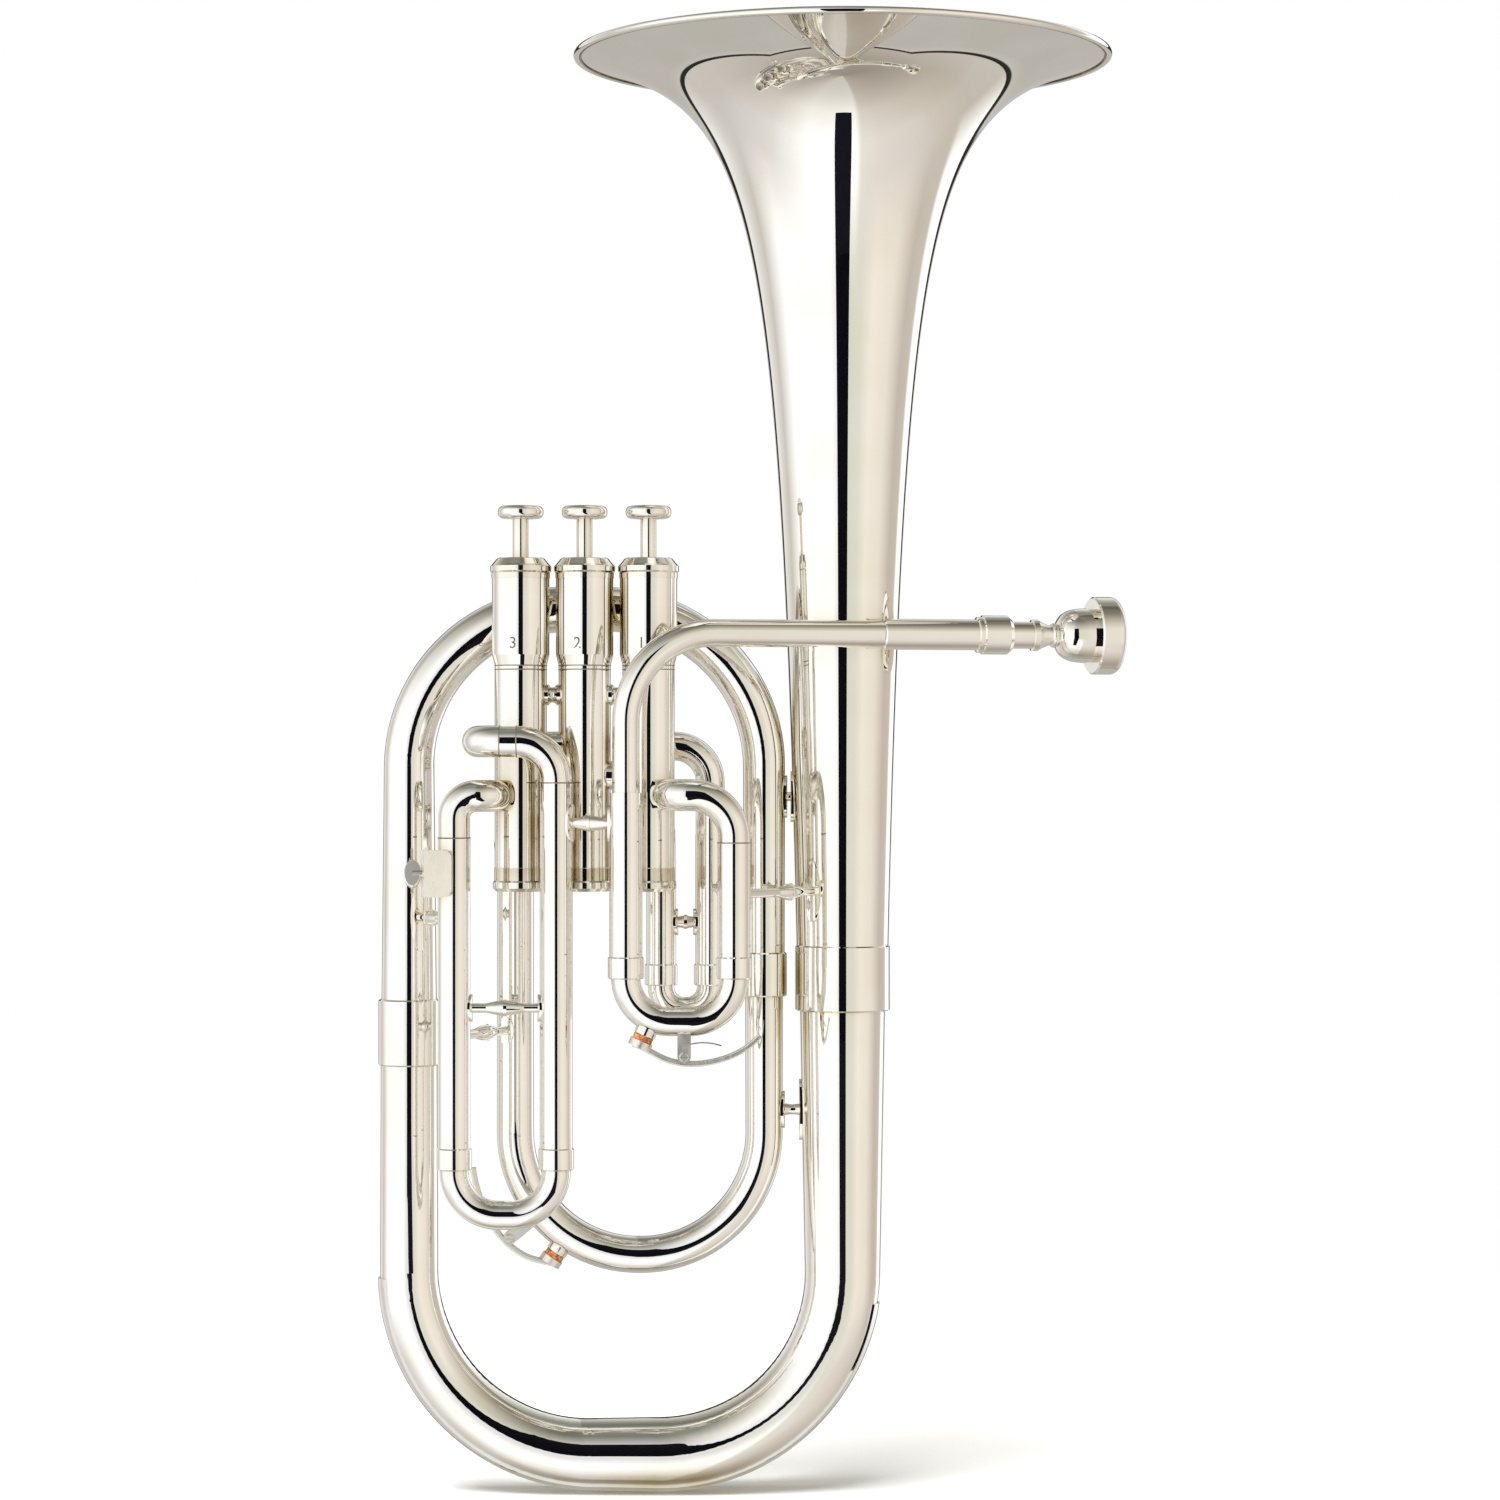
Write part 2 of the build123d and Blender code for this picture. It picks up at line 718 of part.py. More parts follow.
def tube_braces():
    third_left_leg = upright(third_left, third_y, sleeve_radius, 130, 240)
    third_right_leg = upright(third_right, third_y, sleeve_radius, 130, 266)
    main_left_leg = upright(main_left, main_y, sleeve_radius, 205, 262)
    main_right_leg = upright(main_right, main_y, sleeve_radius, 205, 244)
    first_leg = sleeve_radius * first_scale
    first_left_leg = upright(first_left, first_y, first_leg, 200, 236)
    first_right_leg = upright(first_right, first_y, first_leg, 200, 236)
    flare = bell_shape(0)
    bow = tapering_bar(bow_line(), bow_radii)
    branch = tapering_bar(branch_line(), branch_radii)
    inner = tapering_bar(inner_line(), inner_radii)

    height = bell_brace_height
    to_bell = strut((main_right, main_y, height), (bell_x, 0, height), sleeve_radius, bell_radius(height),
                    (6.0, 11.5), [main_right_leg, flare])
    height = bell_brace_high
    upper_pair = strut((right_x, 0, height), (bell_x, 0, height), 8.0, bell_radius(height),
                       (8.0, 9.6), [branch[0], flare], 2.2, 1.9)
    height = bell_brace_low
    lower_pair = strut((right_x, 0, height), (bell_x, 0, height), 7.1, 15.6,
                       (7.0, 11.5), [inner[6], bow[4]], 2.4, 2.3)
    height = front_brace_height
    front_pair = strut((third_right, third_y, height), (main_left, main_y, height), sleeve_radius,
                       sleeve_radius, (7.0, 7.0), [third_right_leg, main_left_leg])
    height = third_brace_height
    third_pair = strut((third_left, third_y, height), (third_right, third_y, height), sleeve_radius,
                       sleeve_radius, (5.0, 5.0), [third_left_leg, third_right_leg])
    height = third_back_brace_height
    third_to_inner = strut((third_left, third_y, height), (inner_x, 0, height), sleeve_radius, 7.0,
                           (4.5, 5.0), [third_left_leg, inner[2]])
    height = first_brace_height
    first_pair = strut((first_left, first_y, height), (first_right, first_y, height), first_leg,
                       first_leg, (5.0, 5.0), [first_left_leg, first_right_leg], 2.4)
    height = outer_brace_height
    outer_pair = strut((left_x, 0, height), (third_left, third_y, height), 10.2, sleeve_radius,
                       (12.8, 6.0), [branch[4], third_left_leg])
    brace_at = on_pipe(pipe_brace_start)
    pipe_brace = strut(tuple(brace_at), (bell_x, 0, pipe_height), receiver_radius,
                       bell_radius(pipe_height), (4.0, 13.9),
                       [bar(on_pipe(90), lean, receiver_radius, 40), flare])
    pieces = [to_bell, upper_pair, lower_pair, front_pair, third_pair, third_to_inner, first_pair,
              outer_pair, pipe_brace]
    for number in valve_x:
        stud = bar((valve_x[number], valve_y, stud_height), (0, 1, 0), stud_radius, -valve_y)
        stud = stud - upright(valve_x[number], valve_y, upper_radius, casing_cone_top, casing_top)
        for solid in branch:
            stud = stud - solid
        pieces.append(stud)
    return Compound(pieces)


# ---- lyre holder ----
def lyre_holder():
    """A square socket for a music clip, soldered to the third slide's left leg."""
    width = lyre_right - lyre_left
    height = lyre_high - lyre_low
    outline = Rectangle(width, height)
    outline = fillet(outline.vertices().group_by(Axis.X)[-1], holder_round)
    turn = radians(holder_turn)
    plane = Plane(origin=((lyre_left + lyre_right) / 2, lyre_y, (lyre_low + lyre_high) / 2),
                  x_dir=(cos(turn), -sin(turn), 0), z_dir=(-sin(turn), -cos(turn), 0))
    block = extrude(plane * outline, lyre_depth / 2, both=True)
    block = block - upright(lyre_x, lyre_y, lyre_bore, lyre_low - 1, lyre_high + 1)
    block = block - bar((lyre_left - 1, lyre_y, screw_height), (1, 0, 0), screw_radius + screw_clearance,
                        lyre_x - lyre_left + 1)
    return block - upright(third_left, third_y, sleeve_radius, lyre_low - 1, lyre_high + 1)


def lyre_screw():
    """A thumb screw with a flat oval head."""
    start = (coin_x, lyre_y, screw_height)
    shank = bar(start, (1, 0, 0), screw_radius, screw_tip - coin_x)
    turn = radians(coin_turn)
    plane = Plane(origin=start, x_dir=(1, 0, 0), z_dir=(0, cos(turn), sin(turn)))
    face = plane * Ellipse(coin_half_width, coin_half_height)
    coin = extrude(face, coin_thick / 2, both=True)
    return shank + chamfer(coin.edges(), coin_bevel)


# ---- water keys ----
def across(point, reach):
    """A plane square to the pin, and the shift that centres a width on it."""
    return Plane(origin=point, x_dir=reach, z_dir=(0, 1, 0))


def nipple(centre, distance, way):
    """The seat that the cork closes, standing on a bow's outer bend."""
    return bar(centre + way * (distance - 1.5), way, nipple_radius, 1.5 + nipple_height)


def key_saddle(pivot, toward, reach, trims):
    """Two ears that hold the key's pin, soldered to the bow."""
    outline = Circle(ear_half_width) + Pos(reach / 2, 0) * Rectangle(reach, 2 * ear_half_width)
    pieces = []
    for side in (-1, 1):
        inner = key_width / 2 + key_clearance
        ear = extrude(across(pivot, toward) * outline, ear_thick, dir=(0, side, 0))
        ear = Pos(0, side * inner, 0) * chamfer(ear.edges().group_by(Axis.Y)[side], 0.4)
        ear = ear - bar(pivot - Vector(0, 8, 0), (0, 1, 0), key_pin_radius, 16)
        for solid in trims:
            ear = ear - solid
        pieces.append(ear)
    return Compound(pieces)


def key_pin(pivot):
    """The pivot screw, with a low slotted head on the front ear."""
    half = key_width / 2 + key_clearance + ear_thick
    front = pivot - Vector(0, half, 0)
    head = bar(front, (0, -1, 0), pin_head_radius, pin_head_height)
    slot = Pos(*(front - Vector(0, pin_head_height, 0))) * Box(4, 0.8, 0.4)
    head = chamfer(head.edges().group_by(Axis.Y)[0], 0.5)
    return bar(front, (0, 1, 0), key_pin_radius, 2 * half) + (head - slot)


def cork_place(centre, distance, way):
    """Where the cork starts, a hair off its nipple."""
    return centre + way * (distance + nipple_height + key_clearance)


def key_cork(centre, distance, way):
    return bar(cork_place(centre, distance, way), way, cork_radius, cork_height)


def water_key(pivot, centre, distance, way, arm):
    """A sprung-steel arm with its hub and the cup that carries the cork."""
    start = cork_place(centre, distance, way)
    cup = bar(start + way * (cork_height + cup_floor - cup_height), way, cup_radius, cup_height)
    cup = cup - bar(start, way, cork_radius, cork_height)
    line = Spline(*arm)
    blade = sweep(Plane(origin=line @ 0, x_dir=(0, 1, 0), z_dir=line % 0)
                  * RectangleRounded(key_width, key_thick, 0.5), path=line)
    hub = bar(pivot - Vector(0, key_width / 2, 0), (0, 1, 0), key_hub, key_width)
    key = blade + hub + cup - bar(start, way, cork_radius, cork_height)
    return key - bar(pivot - Vector(0, 8, 0), (0, 1, 0), key_pin_radius + key_clearance, 16)


def key_spring(points):
    """A leaf spring held between the ears."""
    line = Spline(*points)
    return sweep(Plane(origin=line @ 0, x_dir=(0, 1, 0), z_dir=line % 0) * Rectangle(2.6, 0.3), path=line)


main_corner = Vector(main_left + main_bow_bend, main_y, main_bow_height + main_bow_bend)
main_outside = main_bow_bend + slide_radius
bow_corner = Vector(inner_x + inner_bend, 0, inner_height + inner_bend)
bow_outside = inner_bend + inner_radii[3]


def main_slide_bow():
    bow = slide_bow(main_left, main_right, main_y, main_sleeve_foot, main_bow_height, main_bow_bend)
    way = main_cork_way
    seat = nipple(main_corner, main_outside, way)
    seat = seat - main_bar()
    drain = bar(main_corner + way * (main_bow_bend + 2), way, drain_radius, 12)
    return bow + seat - drain


def main_bar():
    """The main slide's bow as a full bar, for trimming."""
    return bent_bar([(main_left, main_y, 200), (main_left, main_y, main_bow_height),
                     (main_right, main_y, main_bow_height), (main_right, main_y, 200)],
                    main_bow_bend, slide_radius)


def inner_bow():
    line = inner_line()
    tube = tapering_tube(line, inner_radii)
    way = bow_cork_way
    seat = nipple(bow_corner, bow_outside, way)
    for solid in tapering_bar(line, inner_radii)[3:4]:
        seat = seat - solid
    drain = bar(bow_corner + way * (inner_bend + 3), way, drain_radius, 12)
    return tube + seat - drain - casing_body(valve_x[3])


def save_main_key():
    pivot = main_key_pivot
    y = main_y
    arm = [(-44.0, y, 172.0), (-38.6, y, 169.7), (-32.5, y, 166.5), (-25.2, y, 164.7), (-14.0, y, 165.6),
           (-4.5, y, 169.2), (2.6, y, 174.9)]
    save(key_saddle(pivot, (0, 0, 1), 12.0, [main_bar()]), "main_key_saddle")
    save(water_key(pivot, main_corner, main_outside, main_cork_way, arm), "main_water_key")
    save(key_cork(main_corner, main_outside, main_cork_way), "main_key_cork")
    save(key_pin(pivot), "main_key_pin")
    save(key_spring([(-23.6, y, 171.6), (-19.0, y, 172.3), (-11.5, y, 171.2)]), "main_key_spring")


def save_bow_key():
    pivot = bow_key_pivot
    toward = (bow_corner - pivot).normalized()
    arm = [(-74.8, 0, 85.6), (-79.4, 0, 86.7), (-84.8, 0, 88.2), (-90.0, 0, 91.2), (-93.7, 0, 94.4),
           (-99.6, 0, 103.0), (-103.6, 0, 112.5), (-105.6, 0, 122.0)]
    bend = tapering_bar(inner_line(), inner_radii)[3]
    save(key_saddle(pivot, toward, 13.0, [bend]), "bow_key_saddle")
    save(water_key(pivot, bow_corner, bow_outside, bow_cork_way, arm), "bow_water_key")
    save(key_cork(bow_corner, bow_outside, bow_cork_way), "bow_key_cork")
    save(key_pin(pivot), "bow_key_pin")
    save(key_spring([(-91.0, 0, 100.2), (-93.6, 0, 104.2), (-97.4, 0, 108.4)]), "bow_key_spring")


def tube_ferrules():
    """The three rings over the joints of the main bore."""
    bow = tapering_bar(bow_line(), bow_radii)
    branch = tapering_bar(branch_line(), branch_radii)
    inner = tapering_bar(inner_line(), inner_radii)
    bell_ring = ring_about(bell_x, 0, 17.9, 181.4, 206.0, [bell_shape(0), bow[4]])
    left_ring = ring_about(left_x, 0, 11.6, 160.7, 185.6, [bow[0], branch[4]])
    right_ring = ring_about(right_x, 0, 8.6, 186.7, 203.3, [branch[0], inner[6]])
    return Compound([bell_ring, left_ring, right_ring])


save(bell(), "bell")
save(rim_roll(), "bell_rim_wire")
save(tapering_tube(bow_line(), bow_radii), "bottom_bow")
save(bow_guard(), "bow_guard")
save(tapering_tube(branch_line(), branch_radii), "upper_branch")
save(inner_bow(), "inner_bow")
save(tube_ferrules(), "tube_ferrules")
save(leadpipe(), "leadpipe")
save(mouthpiece_receiver(), "mouthpiece_receiver")
save(mouthpiece(), "mouthpiece")
save(main_slide_sleeves(), "main_slide_sleeves")
save(valve_inlet_elbow(), "valve_inlet_elbow")
save(casing_knuckles(), "casing_knuckles")
save(slide_1_sleeves(), "slide_1_sleeves")
save(slide_2_sleeves(), "slide_2_sleeves")
save(slide_3_sleeves(), "slide_3_sleeves")
save(tube_braces(), "tube_braces")
save(lyre_holder(), "lyre_holder")
save(lyre_screw(), "lyre_screw")
save(main_slide_bow(), "main_slide_bow")
save(slide_bow(third_left, third_right, third_y, third_sleeve_foot, third_bow_height, third_bow_bend),
     "slide_3_bow")
save(slide_bow(first_left, first_right, first_y, first_sleeve_foot, first_bow_height,
               (first_right - first_left) / 2 - 0.5, first_scale), "slide_1_bow")
save(slide_2_bow(), "slide_2_bow")
save_main_key()
save_bow_key()
for valve in valve_x:
    ending = "_" + str(valve)
    save(casing(valve), "valve_casing" + ending)
    save(top_cap(valve), "top_cap" + ending)
    save(bottom_cap(valve), "bottom_cap" + ending)
    save(piston(valve), "piston" + ending)
    save(valve_stem(valve), "valve_stem" + ending)
    save(finger_button(valve), "finger_button" + ending)
    save(button_felt(valve), "button_felt" + ending)
    save(valve_guide(valve), "valve_guide" + ending)
    save(valve_spring(valve), "valve_spring" + ending)
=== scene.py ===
"""A silver-plated alto horn on a pale floor, in soft studio light. Lengths are in metres."""
import json
import math

import bpy
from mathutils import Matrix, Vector


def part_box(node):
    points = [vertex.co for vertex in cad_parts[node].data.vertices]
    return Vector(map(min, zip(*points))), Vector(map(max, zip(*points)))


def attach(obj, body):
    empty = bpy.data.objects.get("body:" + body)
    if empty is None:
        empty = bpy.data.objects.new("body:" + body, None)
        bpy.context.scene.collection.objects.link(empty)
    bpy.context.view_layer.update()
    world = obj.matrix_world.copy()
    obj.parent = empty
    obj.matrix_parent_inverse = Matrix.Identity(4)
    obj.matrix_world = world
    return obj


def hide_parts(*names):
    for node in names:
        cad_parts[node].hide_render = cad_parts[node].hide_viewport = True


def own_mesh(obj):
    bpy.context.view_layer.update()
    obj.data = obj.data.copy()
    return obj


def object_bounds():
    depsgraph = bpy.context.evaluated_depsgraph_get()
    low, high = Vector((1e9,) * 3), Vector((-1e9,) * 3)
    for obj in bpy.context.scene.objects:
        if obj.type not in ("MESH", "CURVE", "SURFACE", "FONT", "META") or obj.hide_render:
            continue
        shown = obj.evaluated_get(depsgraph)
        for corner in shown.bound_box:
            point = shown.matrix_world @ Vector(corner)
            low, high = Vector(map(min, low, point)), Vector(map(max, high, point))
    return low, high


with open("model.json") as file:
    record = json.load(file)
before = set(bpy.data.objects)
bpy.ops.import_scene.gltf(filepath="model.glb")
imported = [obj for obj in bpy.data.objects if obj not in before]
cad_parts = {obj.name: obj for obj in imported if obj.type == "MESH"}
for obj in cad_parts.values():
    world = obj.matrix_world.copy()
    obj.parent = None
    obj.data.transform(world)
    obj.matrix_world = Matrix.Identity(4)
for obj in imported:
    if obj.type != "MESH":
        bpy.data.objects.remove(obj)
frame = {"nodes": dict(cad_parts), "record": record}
cad_low, cad_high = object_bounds()
scene = bpy.context.scene

# ---- the camera and the light -------------------------------------------------------------------
EYE_DISTANCE = 1.585          # from the horn's middle plane
EYE_SIDE = -0.00025
EYE_HEIGHT = 0.2739
LENS = 100.8
FRAMING_SHIFT = 0.01          # the horn sits a little above the frame's middle

GAP_HALF_ANGLE = 9.0          # half the dark gap that the camera looks through, in degrees
GAP_BEHIND_EYE = 0.1
GAP_FOOT = -0.05
GAP_TOP = 1.25
GAP_STRIP_START = 0.33        # how far in front of the horn the gap's dark strip on the floor begins
FLOOR_GAP = 0.0003            # between the horn's lowest point and the floor
FLOOR_FADE_START = 0.25
FLOOR_RADIUS = 0.9
FLOOR_ROUGHNESS = 0.8
LAMP_PLACE = (-0.6, -0.7, 2.4)
LAMP_SIZE = 2.0
LAMP_POWER = 130

# The panels round the horn, each at its degrees from the camera's side (left is negative): those at
# eye level, and those seen lower down.
WHITE = (1.12, 1.12, 1.12)
LEVEL_PANELS = [(-180, (0.78, 0.77, 0.75)), (-146, (0.85, 0.84, 0.82)), (-118, (0.62, 0.59, 0.56)),
                (-88, WHITE), (-20, WHITE), (-8, (0.86, 0.86, 0.92)), (10, (0.72, 0.73, 0.64)),
                (25, (0.76, 0.75, 0.67)), (42, (0.92, 0.86, 0.77)), (72, (0.86, 0.79, 0.71)),
                (100, (0.57, 0.51, 0.45)), (122, (0.6, 0.55, 0.49)), (128, WHITE), (180, WHITE)]
LOW_PANELS = [(-180, (0.6, 0.57, 0.53)), (-130, (0.6, 0.57, 0.54)), (-80, (0.78, 0.76, 0.74)),
              (-40, WHITE), (14, WHITE), (20, (0.82, 0.8, 0.74)), (40, (0.78, 0.73, 0.68)),
              (80, (0.7, 0.65, 0.6)), (130, (0.56, 0.52, 0.47)), (180, (0.6, 0.57, 0.53))]
# How far up or down a direction points (1 is straight up, or straight down) as each of the lower,
# ceiling and underneath colours starts and is complete.
LOW_FROM, LOW_TO = 0.2, 0.5
CEILING_FROM, CEILING_TO = 0.3, 0.9
UNDER_FROM, UNDER_TO = 0.7, 1.0
CEILING = [(0.0, (1.0, 1.0, 1.0)), (0.5, (0.68, 0.67, 0.63)), (1.0, (0.24, 0.24, 0.21))]
UNDERNEATH = [(0.0, (1.0, 1.0, 1.0)), (0.6, (0.85, 0.83, 0.8)), (1.0, (0.55, 0.53, 0.5))]

# The grey sheet hung behind the horn: how its edges slope away from the middle, how thin the dark
# line at each edge is, and its colours from the edge inwards.
SHEET_FOOT = 0.49
SHEET_HALF_WIDTH = 0.53
SHEET_TOP = 0.45
SHEET_TOP_SHARPNESS = 1.2
SHEET_FOOT_SHARPNESS = 10.5
SHEET_LOW_SHARPNESS = 12.0    # the side lines thin out towards the floor
SHEET_BLUR = 0.02
SHEET_EDGE = [(0.0, (0.02, 0.02, 0.018)), (0.21, (0.03, 0.03, 0.026)), (0.27, (0.56, 0.54, 0.51)),
              (0.7, (0.5, 0.48, 0.45))]

# ---- the horn's own measures that the fine pieces need ------------------------------------------
# The bell's radius is base + gain / (vertex - height) ** power, in millimetres, as it is spun.
FLARE_BASE = 5.73
FLARE_GAIN = 557.4
FLARE_VERTEX = 555.5
FLARE_POWER = 0.66
BELL_WALL = 0.6
RIM_TUCK = 0.3                # how far below the rim wire's middle the spun wall ends
BELL_RINGS = 110
BELL_SIDES = 224

CASING_RADIUS = 0.0097
SPRING_CHAMBER_RADIUS = 0.0107
CONE_FOOT = 0.3109            # where the casing starts to widen
CONE_LINE_STEP = 0.0015
FOOT_BAND = 0.0047            # the casing's thicker foot, over the bottom cap's thread
BAND_EDGE = 0.0002
LEG_RADIUS = 0.00605
THIRD_LEFT_SEAM = 0.247       # heights of the seams under the front slides' elbows
THIRD_RIGHT_SEAM = 0.2673
MAIN_RIGHT_SEAM = 0.2454
ELBOW_SEAMS = (-0.0925, -0.0862)    # the two seams on the third slide's level tube, along X
ELBOW_SEAM_HEIGHT = 0.2826
ELBOW_RADIUS = 0.00585
SEAM_WIRE = 0.00026
SEAM_SUNK = 0.4               # share of the bead that is sunk in the tube
SEAM_SIDES = 72
BEAD_SIDES = 8
RIM_SEAM_RADIUS = 0.099       # where the bell's rolled rim closes on the flare
RIM_SEAM_HEIGHT = 0.54012
SPRING_WIRE = 0.00045
SPRING_CLEARANCE = 0.00002
SPRING_TURNS = 7
SPRING_STEPS = 32             # points round each turn
WIRE_SIDES = 10
NUMBER_HEIGHT = 0.0042
DIGIT_SHARE = 0.7             # a digit's height as a share of the text size
NUMBER_FOOT = 0.3172
NUMBER_DEPTH = 0.00004
NUMBER_SIDE = 0.0024          # the numbers stand a little to the left of the middle
SHADE_AND_TARNISH_REACH = 0.016         # tarnish and painted shade darken the plate where another surface is nearer than this
SHARP_ANGLE = 35              # in degrees; edges that turn more than this stay sharp

# Pieces that don't look like the plate round them: the casings' darker feet, small cast pieces, and the
# lyre holder with its painted cream reflection.
SPECIAL_FINISHES = {
    "casing_silver": ["valve_casing_1", "valve_casing_2", "valve_casing_3"],
    "satin_silver": ["lyre_screw"],
    "silver_painted_cream": ["lyre_holder"],
    "key_silver": ["main_key_saddle", "bow_key_saddle", "main_water_key", "bow_water_key",
                   "main_key_pin", "bow_key_pin"],
}


# ---- small helpers ------------------------------------------------------------------------------
def new_material(name):
    """A new material, its node tree and its Principled shader."""
    material = bpy.data.materials.new(name)
    material.use_nodes = True
    tree = material.node_tree
    return material, tree, tree.nodes["Principled BSDF"]


def link(tree, source, output, target, input_name):
    tree.links.new(source.outputs[output], target.inputs[input_name])


def noise(tree, scale, detail=3.0, stretch=(1, 1, 1)):
    """A noise texture in the object's own metres, stretched along the axes."""
    place = tree.nodes.new("ShaderNodeTexCoord")
    mapping = tree.nodes.new("ShaderNodeMapping")
    mapping.inputs["Scale"].default_value = stretch
    texture = tree.nodes.new("ShaderNodeTexNoise")
    texture.inputs["Scale"].default_value = scale
    texture.inputs["Detail"].default_value = detail
    link(tree, place, "Object", mapping, "Vector")
    link(tree, mapping, "Vector", texture, "Vector")
    return texture


def ramp(tree, source, output, stops):
    """A colour ramp from (position, colour) stops."""
    node = tree.nodes.new("ShaderNodeValToRGB")
    elements = node.color_ramp.elements
    while len(elements) < len(stops):
        elements.new(0.5)
    for element, (position, colour) in zip(elements, stops):
        element.position = position
        element.color = (*colour, 1.0)
    link(tree, source, output, node, "Fac")
    return node


def to_range(tree, source, output, low, high, from_low=0.35, from_high=0.65):
    """Maps a texture's value to a number between low and high."""
    node = tree.nodes.new("ShaderNodeMapRange")
    node.inputs["From Min"].default_value = from_low
    node.inputs["From Max"].default_value = from_high
    node.inputs["To Min"].default_value = low
    node.inputs["To Max"].default_value = high
    link(tree, source, output, node, "Value")
    return node


def bump(tree, shader, source, output, distance):
    """Lets a texture raise the surface by up to the distance."""
    node = tree.nodes.new("ShaderNodeBump")
    node.inputs["Distance"].default_value = distance
    node.inputs["Strength"].default_value = 1.0
    link(tree, source, output, node, "Height")
    link(tree, node, "Normal", shader, "Normal")


def combine(tree, operation, first, second=None):
    """A Math node; each side is a socket or a number."""
    node = tree.nodes.new("ShaderNodeMath")
    node.operation = operation
    for place, value in enumerate((first, second)):
        if value is None:
            continue
        if isinstance(value, (int, float)):
            node.inputs[place].default_value = value
        else:
            tree.links.new(value, node.inputs[place])
    return node.outputs["Value"]


def blend_colours(tree, share, first, second):
    """The first colour where the share is 0, the second where it is 1."""
    node = tree.nodes.new("ShaderNodeMix")
    node.data_type = "RGBA"
    colours = [place for place in node.inputs if place.type == "RGBA"]
    tree.links.new(share, node.inputs[0])
    tree.links.new(first, colours[0])
    tree.links.new(second, colours[1])
    return [place for place in node.outputs if place.type == "RGBA"][0]


# ---- materials ----------------------------------------------------------------------------------
def polished_metal(name, bright, dull, tarnish_and_shade, roughness, metallic=1.0, band_top=None):
    """Buffed plate: clouds of haze, wiping marks, and darker yellow where another surface is near:
    partly tarnish, partly painted shade and painted reflection.

    Below band_top, where there is one, the piece takes the darker colour all round.
    """
    material, tree, shader = new_material(name)
    shader.inputs["Metallic"].default_value = metallic
    clouds = noise(tree, 38.0, 4.0)
    clean = ramp(tree, clouds, "Fac", [(0.36, dull), (0.6, bright)]).outputs["Color"]
    # Painted shade and tarnish: where the ambient occlusion finds another surface near, the plate turns
    # darker and yellower. This stands partly for tarnish and partly for shade and reflected light.
    tarnish_and_shade_colour = ramp(tree, clouds, "Fac", [(0.3, tarnish_and_shade), (0.7, dull)]).outputs["Color"]
    shade_probe = tree.nodes.new("ShaderNodeAmbientOcclusion")
    shade_probe.samples = 6
    shade_probe.inputs["Distance"].default_value = SHADE_AND_TARNISH_REACH
    darkened_share = to_range(tree, shade_probe, "AO", 1.0, 0.0, 0.3, 0.85).outputs["Result"]
    # The casing's foot band is darker all round.
    if band_top:
        place = tree.nodes.new("ShaderNodeTexCoord")
        axes = tree.nodes.new("ShaderNodeSeparateXYZ")
        link(tree, place, "Object", axes, "Vector")
        below = to_range(tree, axes, "Z", 1.0, 0.0, band_top - BAND_EDGE, band_top).outputs["Result"]
        darkened_share = combine(tree, "MAXIMUM", darkened_share, below)
    tree.links.new(blend_colours(tree, darkened_share, clean, tarnish_and_shade_colour), shader.inputs["Base Color"])
    haze = noise(tree, 260.0, 6.0)
    wiped = noise(tree, 1400.0, 2.0, (1, 1, 0.06))
    rough = to_range(tree, haze, "Fac", roughness[0], roughness[1]).outputs["Result"]
    marks = to_range(tree, wiped, "Fac", 0.0, roughness[1] / 2, 0.6, 0.75).outputs["Result"]
    tree.links.new(combine(tree, "ADD", rough, marks), shader.inputs["Roughness"])
    bump(tree, shader, clouds, "Fac", 0.0000006)
    return material


def brushed_metal(name, bright, dull, roughness):
    """Metal with fine turning lines that run round an upright axis."""
    material, tree, shader = new_material(name)
    shader.inputs["Metallic"].default_value = 1.0
    lines = noise(tree, 60.0, 4.0, (1, 1, 60))
    colour = ramp(tree, lines, "Fac", [(0.35, dull), (0.65, bright)])
    link(tree, colour, "Color", shader, "Base Color")
    rough = to_range(tree, lines, "Fac", roughness[0], roughness[1])
    link(tree, rough, "Result", shader, "Roughness")
    bump(tree, shader, lines, "Fac", 0.00002)
    return material


def cork_material():
    """Orange-brown cork with pale grain and dark pores."""
    material, tree, shader = new_material("cork")
    grain = noise(tree, 900.0, 5.0)
    colour = ramp(tree, grain, "Fac", [(0.3, (0.09, 0.03, 0.012)), (0.45, (0.36, 0.12, 0.035)),
                                       (0.6, (0.56, 0.22, 0.075)), (0.75, (0.72, 0.38, 0.17))])
    link(tree, colour, "Color", shader, "Base Color")
    rough = to_range(tree, grain, "Fac", 0.7, 0.9)
    link(tree, rough, "Result", shader, "Roughness")
    bump(tree, shader, grain, "Fac", 0.0003)
    return material


def felt_material():
    """Pressed off-white wool, with short crossing fibres and a soft sheen."""
    material, tree, shader = new_material("felt")
    fibres = noise(tree, 2600.0, 6.0, (1, 3, 1))
    colour = ramp(tree, fibres, "Fac", [(0.3, (0.55, 0.52, 0.46)), (0.7, (0.86, 0.84, 0.78))])
    link(tree, colour, "Color", shader, "Base Color")
    rough = to_range(tree, fibres, "Fac", 0.85, 1.0)
    link(tree, rough, "Result", shader, "Roughness")
    shader.inputs["Sheen Weight"].default_value = 0.4
    bump(tree, shader, fibres, "Fac", 0.0003)
    return material


